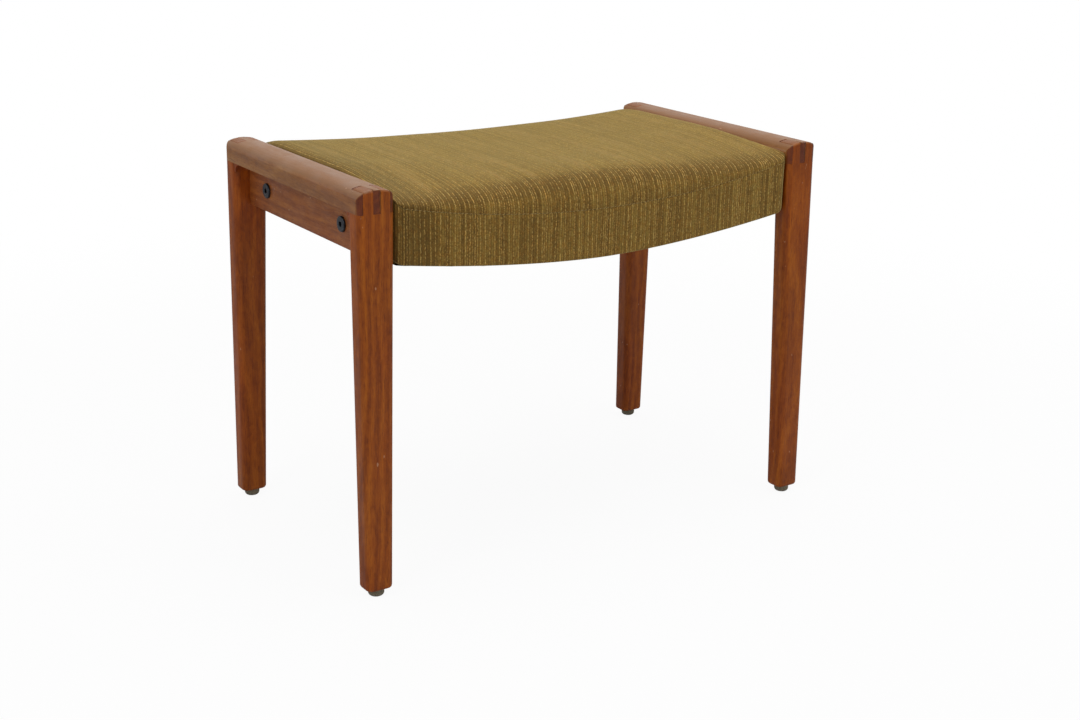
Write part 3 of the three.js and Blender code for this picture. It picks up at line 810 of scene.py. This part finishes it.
def corner_share(x, share):
    """How much of the crown's rise is left near a front corner, where use has drawn the cover down"""
    near_end = max(0.0, 1 - (SEAT_HALF_LENGTH - abs(x)) / CORNER_DIP_LENGTH)
    near_front = max(0.0, 1 - (1 + share) * SEAT_HALF_DEPTH / CORNER_DIP_DEPTH)
    return 1 - CORNER_DIP * (near_end * near_front) ** CORNER_DIP_POWER


def corner_normal(x):
    """How far the seat's edge faces along X and along Y, seen from above"""
    across = min(1.0, max(0.0, (abs(x) - SEAT_HALF_LENGTH + CORNER_RADIUS) / CORNER_RADIUS))
    return across, math.sqrt(1 - across ** 2)


def half_depth_at(x):
    return SEAT_HALF_DEPTH - CORNER_RADIUS * (1 - corner_normal(x)[1])


def seam_swell(height):
    """How far the cloth stands out at a height above or below the seam, where the seam draws it in"""
    reach = abs(height) / SEAM_SWELL_REACH
    return SEAM_SWELL * reach * math.exp(1 - reach)


def pucker(x, height, seed):
    """Small unevenness of the cloth beside a seam"""
    fade = math.exp(-abs(height) / PUCKER_REACH)
    return PUCKER * fade * 2 * uneven(x / PUCKER_PITCH, 0.3 * height / PUCKER_PITCH, seed)


# The padded seat


def panel_places():
    """Places along the right half of the panel: (x, drop of the roll, share of the way down the end)"""
    roll_start = SEAT_HALF_LENGTH - END_ROLL_WIDTH
    level = [(x, 0.0, 0.0) for x in np.linspace(0, roll_start, round(roll_start / LEVEL_STEP) + 1)]
    for turn in np.linspace(0, QUARTER_TURN, ROLL_STEPS + 1)[1:]:
        drop = END_ROLL_DROP * (1 - math.cos(turn))
        level.append((roll_start + END_ROLL_WIDTH * math.sin(turn), drop, 0.0))
    wall = [(SEAT_HALF_LENGTH, END_ROLL_DROP, down) for down in np.linspace(0, 1, WALL_STEPS + 1)[1:]]
    return level + wall


def panel_point(x, drop, down, share):
    """A point of the panel's outside, at its share of the way from the middle to the back seam"""
    top = crown_at(x) - drop
    seam = seam_at(x)
    z = seam + (top - seam) * bulge(share) * corner_share(x, share)
    hem = underside_at(SEAT_HALF_LENGTH) + HEM_RADIUS
    y = share * half_depth_at(x)
    if down == 0:
        lift = z - seam
        out = abs(share) ** 4 * (seam_swell(lift) + pucker(x, lift, 3 + np.sign(share)))
        nx, ny = corner_normal(x)
        x += np.sign(x) * nx * out * (abs(share) > 0.5)
        y += np.sign(share) * ny * out
        z += CROWN_UNEVENNESS * uneven(x / 0.07, y / 0.05, 1.7) * (1 - abs(share) ** 6)
    return [x, y, z + (hem - z) * down]


def crown_shares():
    """Places from the front seam to the back one, closer together where the crown turns and by the seams"""
    shares = np.sin(np.linspace(-QUARTER_TURN, QUARTER_TURN, CROWN_SAMPLES))
    rise = crown_at(0) - seam_curve(0)
    outline = np.array([(share * SEAT_HALF_DEPTH, rise * bulge(share)) for share in shares])
    steps = np.diff(outline, axis=0)
    length = np.linalg.norm(steps, axis=1)
    turn = np.abs(np.gradient(np.arctan2(steps[:, 1], steps[:, 0])))
    near_seam = np.exp(-outline[1:, 1] / SEAM_SWELL_REACH)
    cost = length / CROWN_STEP_LENGTH + turn / CROWN_STEP_TURN + length * near_seam / SEAM_STEP_LENGTH
    total = np.concatenate([[0], np.cumsum(cost)])
    return np.interp(np.linspace(0, total[-1], CROWN_STEPS + 1), total, shares)


def panel_ring(share):
    """One closed loop of the padded panel, in a plane along the stool: over the crown, down the ends,
    turned under, and back along the pad's flat underside"""
    outside = [panel_point(x, drop, down, share) for x, drop, down in panel_places()]
    hem = underside_at(SEAT_HALF_LENGTH)
    wall = SEAT_HALF_LENGTH
    inner_wall = wall - CLOTH_THICKNESS
    pad_edge = PAD_HALF_LENGTH - PAD_EDGE_INSET
    pad_floor = seam_curve(PAD_HALF_LENGTH) - PAD_BELOW_SEAM
    tucked = [
        (wall - 0.3 * HEM_RADIUS, hem + 0.3 * HEM_RADIUS),
        (wall - HEM_RADIUS, hem),
        (wall - HEM_TURN_UNDER, hem),
        (wall - HEM_TURN_UNDER, hem + CLOTH_THICKNESS),
        (inner_wall, hem + CLOTH_THICKNESS + HEM_CLEARANCE),
        (inner_wall, pad_floor),
        (pad_edge, pad_floor),
    ]
    outside += [[x, share * half_depth_at(wall), z] for x, z in tucked]
    for x in np.linspace(pad_edge, 0, PAD_FLOOR_STEPS + 1)[1:]:
        outside.append([x, share * (half_depth_at(x) - TUCK_DEPTH), seam_curve(x) - PAD_BELOW_SEAM])
    right = np.array(outside)
    left = right[1:-1][::-1] * np.array([-1, 1, 1])
    return np.concatenate([right, left])


def tucked_ring(share):
    """The loop of a seam's edge, drawn in behind the band"""
    ring = panel_ring(share)
    for point in ring:
        nx, ny = corner_normal(point[0])
        if point[2] > seam_at(point[0]) - PAD_BELOW_SEAM / 2:
            point[2] = seam_at(point[0]) - TUCK_DROP
            point[0] -= np.sign(point[0]) * nx * TUCK_DEPTH
            point[1] -= share * ny * TUCK_DEPTH
        else:
            point[1] = share * min(abs(point[1]), half_depth_at(point[0]) - TUCK_DEPTH)
    return ring


def swell(piece, held, limit):
    """Lets a sewn cover swell over its filling under a light pressure, no further than the limit"""
    mesh = piece.data
    start = np.empty(len(mesh.vertices) * 3, np.float32)
    mesh.vertices.foreach_get("co", start)
    piece.vertex_groups.new(name="held").add(held, 1.0, "REPLACE")
    cloth = piece.modifiers.new("swell", "CLOTH")
    cloth.settings.quality = 5
    cloth.settings.mass = 0.3
    cloth.settings.use_pressure = True
    cloth.settings.uniform_pressure_force = PRESSURE
    cloth.settings.vertex_group_mass = "held"
    cloth.settings.effector_weights.gravity = 0
    cloth.collision_settings.use_collision = False
    cloth.point_cache.frame_end = SWELL_FRAMES
    for step in range(1, SWELL_FRAMES + 1):
        bpy.context.scene.frame_set(step)
    solved = piece.evaluated_get(bpy.context.evaluated_depsgraph_get())
    swollen = np.empty_like(start)
    solved.data.vertices.foreach_get("co", swollen)
    move = (swollen - start).reshape(-1, 3)
    length = np.linalg.norm(move, axis=1, keepdims=True) + 1e-9
    move *= limit * np.tanh(length / limit) / length
    piece.modifiers.remove(cloth)
    piece.vertex_groups.clear()
    mesh.vertices.foreach_set("co", start + move.ravel())
    mesh.update()
    bpy.context.scene.frame_set(1)


def held_places(rings):
    """The padded panel's points that its seams, its ends and its underside hold still"""
    length = len(rings[0])
    end = SEAT_HALF_LENGTH - 0.2 * END_ROLL_WIDTH
    held = []
    for row, ring in enumerate(rings):
        at_seam = row < HELD_ROWS or row >= len(rings) - HELD_ROWS
        for column, (x, _, z) in enumerate(ring):
            if at_seam or abs(x) > end or z < seam_at(x):
                held.append(row * length + column)
    return held


def seat_cushion():
    """The crowned pad in its panel of striped wool"""
    rings = [panel_ring(share) for share in crown_shares()]
    rings = [tucked_ring(-1), *rings, tucked_ring(1)]
    middle = rings[len(rings) // 2]
    along = arc_lengths([*middle, middle[0]])
    over = arc_lengths([ring[0] for ring in rings])
    over -= over[len(over) // 2]
    half = len(middle) // 2
    along[half + 1:] -= along[-1]
    weave = [[(u, v) for u in along] for v in over]
    mesh = loft("seat_cushion", rings, weave)
    smooth(mesh, CLOTH_SHARP_ANGLE)
    cushion = new_piece(
        "seat_cushion", mesh, PANEL_WOOL, ["cover_top_panel", "foam_pad"])
    swell(cushion, held_places(rings), SWELL_LIMIT)


# The bands of the cover


def band_path():
    """Places of the front band, from its left end to its right: (x, y, outward x, outward y)"""
    flat = SEAT_HALF_LENGTH - CORNER_RADIUS
    path = []
    for turn in np.linspace(QUARTER_TURN, 0, CORNER_STEPS + 1)[:-1]:
        nx, ny = math.sin(turn), math.cos(turn)
        path.append((flat + CORNER_RADIUS * nx, -SEAT_HALF_DEPTH + CORNER_RADIUS * (1 - ny), nx, -ny))
    straight = np.linspace(flat, 0, round(flat / LEVEL_STEP) + 1)
    path += [(x, -SEAT_HALF_DEPTH, 0.0, -1.0) for x in straight]
    left = [(-x, y, -nx, ny) for x, y, nx, ny in path[:-1]]
    return left + path[::-1]


def band_section(x):
    """The band's section as (depth behind its face, height): up its face, over the seam and down its back"""
    low = underside_at(x)
    seam = seam_at(x) - SEAM_CLEARANCE
    radius = HEM_RADIUS + CORNER_HEM_EXTRA * corner_normal(x)[0] ** 2
    outer = [(HEM_TURN_UNDER, low), (radius, low)]
    for turn in np.linspace(0, QUARTER_TURN, HEM_STEPS + 1)[1:]:
        outer.append((radius * (1 - math.sin(turn)), low + radius * (1 - math.cos(turn))))
    face = np.linspace(low + radius, seam - BAND_LIP, BAND_FACE_STEPS + 1)[1:]
    outer += [(-seam_swell(z - seam) * BAND_SWELL - pucker(x, z - seam, 9.0), z) for z in face]
    outer += [(0.0002, seam - 0.0002), (0.0006, seam - 0.0001), (TUCK_DEPTH - 0.0002, seam - TUCK_DROP)]
    inner = [(TUCK_DEPTH, seam - 0.002), (CLOTH_THICKNESS, seam - 0.0035)]
    inner += [(CLOTH_THICKNESS, z) for z in np.linspace(seam - 0.006, low + radius, BAND_BACK_STEPS + 1)]
    inner += [(radius, low + CLOTH_THICKNESS), (HEM_TURN_UNDER, low + CLOTH_THICKNESS)]
    return outer + inner


def cover_band(end):
    """A band of the cover, from one corner round to the other, its hem turned under the seat"""
    name = f"cover_band_{end}"
    path = band_path()
    rings = []
    weave = []
    lengths = arc_lengths([(x, y) for x, y, nx, ny in path])
    lengths -= lengths[len(lengths) // 2]
    for (x, y, nx, ny), length in zip(path, lengths):
        # Round a corner there is less room for the hem
        room = SEAT_HALF_LENGTH - abs(x) + 0.4 * CORNER_RADIUS + CLOTH_THICKNESS
        tip = max(min(HEM_TURN_UNDER, room), 0.8 * CORNER_RADIUS)
        section = [(min(depth, tip), z) for depth, z in band_section(x)]
        rings.append([(x - nx * depth, -ENDS[end] * (y - ny * depth), z) for depth, z in section])
        weave.append([(length, -down) for down in arc_lengths([*section, section[0]])])
    mesh = loft(name, rings, weave)
    smooth(mesh, CLOTH_SHARP_ANGLE)
    band = new_piece(f"{name}_finished", mesh, BAND_WOOL, [name])


def seam_stitches(end):
    """Short slanting stitches of pale thread along the seam"""
    solid = bmesh.new()
    reach = SEAT_HALF_LENGTH - CORNER_RADIUS
    count = int(2 * reach / STITCH_PITCH)
    size = Matrix.Diagonal((STITCH_LENGTH / 2, STITCH_THICKNESS / 2, STITCH_THICKNESS / 2, 1))
    y = ENDS[end] * (SEAT_HALF_DEPTH - STITCH_SINK)
    for number in range(count):
        x = -reach + (number + 0.5) * 2 * reach / count + STITCH_DRIFT * uneven(number * 1.7, 0, 5)
        tilt = slope_of(seam_at, x) + STITCH_SLANT + STITCH_SLANT_RANGE * uneven(number * 2.3, 0, 8)
        place = Matrix.Translation((x, y, seam_at(x) - STITCH_DROP))
        turn = Matrix.Rotation(-tilt, 4, "Y")
        bmesh.ops.create_uvsphere(solid, u_segments=8, v_segments=6, radius=1, matrix=place @ turn @ size)
    name = f"seam_stitches_{end}"
    mesh = mesh_from(solid, name)
    mesh.shade_smooth()
    new_piece(name, mesh, SEAM_THREAD)


# Under the seat

DUST_HALF_LENGTH = SEAT_HALF_LENGTH - 0.004
DUST_HALF_WIDTH = SEAT_HALF_DEPTH - HEM_TURN_UNDER + 0.006
DUST_THICKNESS = 0.0006
DUST_CLEARANCE = 0.0004  # under the seat frame and the hems
DUST_SAG = 0.0018
DUST_EDGE_FOLD = 0.0006
DUST_EDGE_WIDTH = 0.03  # in which the sag sets in and the folds end
DUST_COLUMNS = 95
DUST_ROWS = 61
STAPLE_PITCH = 0.042
STAPLE_INSET = 0.004
STAPLE_CORNER_GAP = 0.02
STAPLE_WIDTH = 0.010
STAPLE_THICKNESS = 0.0006
STAPLE_WIRE_WIDTH = 0.00132
STAPLE_RISE = 0.0012  # of its bent ends
STAPLE_ROUNDING = 0.00012
STAPLE_SKEW = 0.16


def dust_cover_height(x, y):
    """The cover's underside: under the hems at its edges, and slack between the staples"""
    to_edge = min(DUST_HALF_LENGTH - abs(x), DUST_HALF_WIDTH - abs(y))
    inward = min(1.0, to_edge / DUST_EDGE_WIDTH)
    slack = DUST_SAG * inward * (0.55 + 0.9 * uneven(x / 0.09, y / 0.07, 4.2))
    fold = DUST_EDGE_FOLD * (1 - inward) * uneven(x / 0.012, y / 0.012, 6.1)
    level = underside_at(x) - DUST_CLEARANCE - DUST_THICKNESS
    return level - max(slack, 0.0) * 0.5 + min(fold, 0.0)


def dust_cover():
    """The thin black cloth under the seat"""
    half_length, half_width = DUST_HALF_LENGTH, DUST_HALF_WIDTH
    ys = np.linspace(-half_width, half_width, DUST_ROWS)
    rings = []
    for x in np.linspace(-half_length, half_length, DUST_COLUMNS):
        under = [(x, y, dust_cover_height(x, y)) for y in ys]
        over = [(px, py, pz + DUST_THICKNESS) for px, py, pz in under[::-1]]
        rings.append(under + over)
    mesh = loft("dust_cover", rings)
    smooth(mesh, CLOTH_SHARP_ANGLE)
    cover = new_piece("dust_cover_finished", mesh, DUST_CLOTH, ["dust_cover"])


def spread(half_length):
    """Staple places along an edge of the dust cover"""
    reach = half_length - STAPLE_CORNER_GAP
    return np.linspace(-reach, reach, round(2 * half_length / STAPLE_PITCH))


def staple_places():
    """Round the dust cover's edge: (x, y, the staple's turn)"""
    x_edge = DUST_HALF_LENGTH - STAPLE_INSET
    y_edge = DUST_HALF_WIDTH - STAPLE_INSET
    places = [(x, side * y_edge, 0.0) for x in spread(DUST_HALF_LENGTH) for side in (-1, 1)]
    places += [(side * x_edge, y, QUARTER_TURN) for y in spread(DUST_HALF_WIDTH) for side in (-1, 1)]
    return places


def staples():
    """Upholstery staples, each a flat wire with its ends bent up"""
    solid = bmesh.new()
    half = STAPLE_WIDTH / 2
    inside = half - STAPLE_THICKNESS
    parts = ((-half, half, 0.0), (-half, -inside, STAPLE_RISE), (inside, half, STAPLE_RISE))
    for number, (x, y, turn) in enumerate(staple_places()):
        place = Matrix.Translation((x, y, dust_cover_height(x, y) - STAPLE_THICKNESS / 2))
        place = place @ Matrix.Rotation(-slope_of(underside_at, x), 4, "Y")
        place = place @ Matrix.Rotation(turn, 4, "Z")
        place = place @ Matrix.Rotation(STAPLE_SKEW * uneven(number * 3.1, 0, 2), 4, "Z")
        for start, end, rise in parts:
            size = Matrix.Diagonal((end - start, STAPLE_WIRE_WIDTH, STAPLE_THICKNESS + rise, 1))
            centre = Matrix.Translation(((start + end) / 2, 0, rise / 2))
            bmesh.ops.create_cube(solid, size=1, matrix=place @ centre @ size)
    bmesh.ops.bevel(
        solid, geom=solid.edges[:], offset=STAPLE_ROUNDING, segments=2, affect="EDGES", profile=0.5)
    mesh = mesh_from(solid, "dust_cover_staples")
    mesh.shade_smooth()
    new_piece("dust_cover_staples", mesh, ZINC)


# The seat frame

FRAME_CORNER_RADIUS = 0.010
FRAME_CORNER_REACH = 0.013
FRAME_CORNER_LIFT = 0.006  # how far the rail's underside is cut away at its ends


def seat_long_rail(end):
    """A long rail of the seat frame, its outer corners rounded off for the cloth that wraps them"""
    name = f"seat_long_rail_{end}"
    solid = cad_solid(name)
    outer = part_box(name)[1 if end == "back" else 0]
    half_length = abs(outer.x)
    for side in SIDES.values():
        place = Vector((side * (half_length - FRAME_CORNER_REACH), 0, 0))
        whole = solid.verts[:] + solid.edges[:] + solid.faces[:]
        bmesh.ops.bisect_plane(solid, geom=whole, plane_co=place, plane_no=(1, 0, 0))
    for vert in solid.verts:
        at_end = abs(vert.co.x) > half_length - EDGE_RADIUS
        if at_end and vert.co.z < underside_at(vert.co.x) + FRAME_CORNER_REACH:
            vert.co.z += FRAME_CORNER_LIFT
    corners = []
    for edge in solid.edges:
        rise = edge.verts[1].co - edge.verts[0].co
        middle = middle_of(edge)
        at_end = abs(middle.x) > half_length - FRAME_CORNER_RADIUS and abs(middle.y - outer.y) < EDGE_RADIUS
        if at_end and abs(rise.z) > 0.9 * rise.length:
            corners.append(edge)
    bevelled(solid, corners, FRAME_CORNER_RADIUS, 5)
    mesh = mesh_from(solid, name)
    smooth(mesh)
    new_piece(f"{name}_finished", mesh, LONG_BEECH, [name])


# The solids that stay


def finish_hidden_solids():
    """The seat frame inside the cover keeps its solids and gets its own finishes"""
    looks = {
        "seat_end_rail": BEECH,
        "seat_dowel": DOWEL_BEECH,
        "side_rail_dowel": DOWEL_BEECH,
        "threaded_insert": ZINC,
        "webbing_strap": JUTE,
    }
    for name, node in nodes.items():
        for start, material in looks.items():
            if name.startswith(start):
                node.data.materials.clear()
                node.data.materials.append(material)


# Stage, light and camera

FLOOR_HALF_SIZE = 6.0
FLOOR_WHITENING = 0.94  # how far the camera sees the floor near the stool as the white background
FLOOR_FADE_START = 0.45
FLOOR_FADE_END = 1.5
WORLD_STRENGTH = 0.18
LAMPS = {  # place, the point it shines at, width and power
    "overhead": ((0.1, -0.1, 2.3), (0, 0, 0.3), 2.2, 40.0),
    "left": ((-2.0, -0.9, 1.5), (0, 0, 0.25), 0.8, 11.0),
    "right": ((1.2, -2.3, 1.6), (0, 0, 0.25), 1.0, 8.5),
}


def floor():
    """A plain pale floor that runs into the white background and keeps the stool's soft shadow"""
    mesh = bpy.data.meshes.new("floor")
    size = FLOOR_HALF_SIZE
    corners = [(-size, -size, 0), (size, -size, 0), (size, size, 0), (-size, size, 0)]
    mesh.from_pydata(corners, [], [(0, 1, 2, 3)])
    mat = Finish("pale floor")
    mat.set(Base_Color=grey(0.8), Roughness=0.6, Specular_IOR_Level=0.2)
    path = mat.node("LightPath").outputs["Is Camera Ray"]
    white = mat.node("Emission", {"Color": grey(1.0), "Strength": 1.0}).outputs[0]
    away = mat.node("VectorMath", {0: mat.place()}, operation="LENGTH").outputs["Value"]
    whitening = mat.step(away, FLOOR_FADE_START, FLOOR_FADE_END, FLOOR_WHITENING, 1.0)
    share = mat.times(path, whitening)
    blend = mat.node("MixShader", {0: share, 1: mat.shader.outputs[0], 2: white})
    mat.put(mat.output.inputs["Surface"], blend.outputs[0])
    mesh.materials.append(mat.material)
    placed("floor", mesh)


def soft_light(name, place, aim, width, power):
    """A square lamp"""
    data = bpy.data.lights.new(name, "AREA")
    data.shape = "SQUARE"
    data.size = width
    data.energy = power
    lamp = placed(name, data)
    lamp.location = place
    lamp.rotation_euler = (Vector(aim) - Vector(place)).to_track_quat("-Z", "Y").to_euler()


def world():
    """White to the camera, in reflections and through glass, and a weak light on the stool"""
    made = bpy.data.worlds.new("studio")
    made.use_nodes = True
    tree = made.node_tree
    shade = tree.nodes["Background"]
    shade.inputs["Color"].default_value = grey(1.0)
    path = tree.nodes.new("ShaderNodeLightPath")
    seen = path.outputs["Is Camera Ray"]
    for ray in ("Is Glossy Ray", "Is Transmission Ray"):
        either = tree.nodes.new("ShaderNodeMath")
        either.operation = "MAXIMUM"
        tree.links.new(seen, either.inputs[0])
        tree.links.new(path.outputs[ray], either.inputs[1])
        seen = either.outputs[0]
    strength = tree.nodes.new("ShaderNodeMapRange")
    strength.inputs["To Min"].default_value = WORLD_STRENGTH
    strength.inputs["To Max"].default_value = 1.0
    tree.links.new(seen, strength.inputs["Value"])
    tree.links.new(strength.outputs[0], shade.inputs["Strength"])
    bpy.context.scene.world = made


def camera():
    """The photograph's view, fitted to the stool's feet, rails and bolts"""
    yaw, pitch, roll = CAMERA_YAW, CAMERA_PITCH, CAMERA_ROLL
    forward = Vector((-math.sin(yaw) * math.cos(pitch), math.cos(yaw) * math.cos(pitch), -math.sin(pitch)))
    level = Vector((math.cos(yaw), math.sin(yaw), 0))
    upward = level.cross(forward)
    right = math.cos(roll) * level + math.sin(roll) * upward
    up = math.cos(roll) * upward - math.sin(roll) * level
    data = bpy.data.cameras.new("camera")
    data.sensor_width = SENSOR_WIDTH_MM
    data.lens = FOCAL_LENGTH_PX * SENSOR_WIDTH_MM / IMAGE_WIDTH_PX
    made = placed("camera", data)
    turn = Matrix((right, up, -forward)).transposed()
    made.matrix_world = Matrix.Translation(CAMERA_PLACE) @ turn.to_4x4()
    bpy.context.scene.camera = made


camera()
side_frames()
for bolt_end, bolt_side in CORNERS:
    connector_bolt(bolt_end, bolt_side)
    glide(bolt_end, bolt_side)
seat_cushion()
for seat_end in ENDS:
    seat_long_rail(seat_end)
    cover_band(seat_end)
    seam_stitches(seat_end)
dust_cover()
staples()
finish_hidden_solids()
floor()
world()
for lamp, settings in LAMPS.items():
    soft_light(lamp, *settings)
bpy.context.scene.view_settings.view_transform = "Standard"
